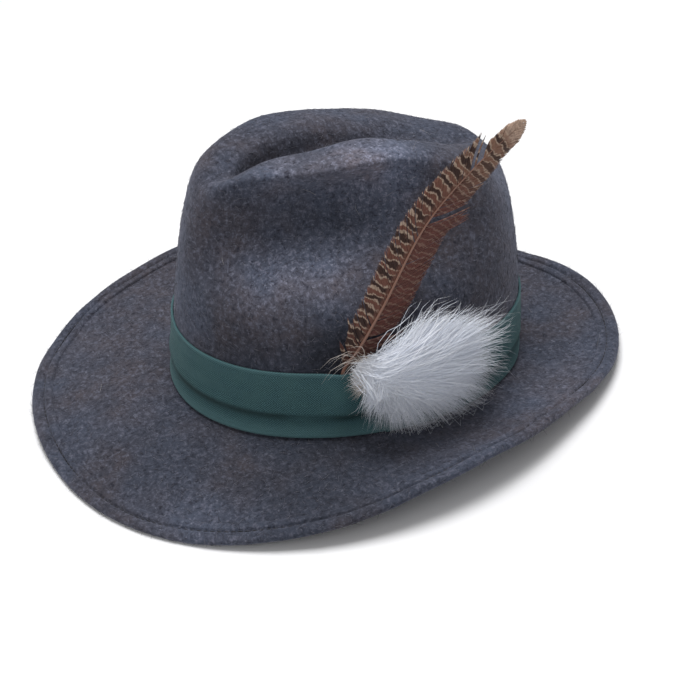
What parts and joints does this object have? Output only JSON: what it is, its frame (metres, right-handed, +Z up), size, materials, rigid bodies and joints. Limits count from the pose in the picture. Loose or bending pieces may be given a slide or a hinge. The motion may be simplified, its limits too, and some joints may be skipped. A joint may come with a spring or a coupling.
{
  "type": "tyrolean hat",
  "caption": "Grey wool felt hat with a teardrop crown and snap brim, a green ribbon band, a barred feather and a white down plume.",
  "frame": {"origin": "on the surface that the hat rests on, under the middle of the hat's bounding box", "axes": "+Z up, the front of the hat faces -Y, the wearer's left side with the feather is +X"},
  "size_m": [0.2952, 0.3394, 0.1676],
  "materials": {
    "felt": "heathered dark grey wool felt",
    "ribbon": "matt dark green twill ribbon",
    "feather": "barred brown and cream feather",
    "down": "soft white marabou down"
  },
  "bodies": {
    "root": {"felt_body": "felt", "hat_band": "ribbon", "feather": "feather", "plume": "down"}
  },
  "joints": []
}
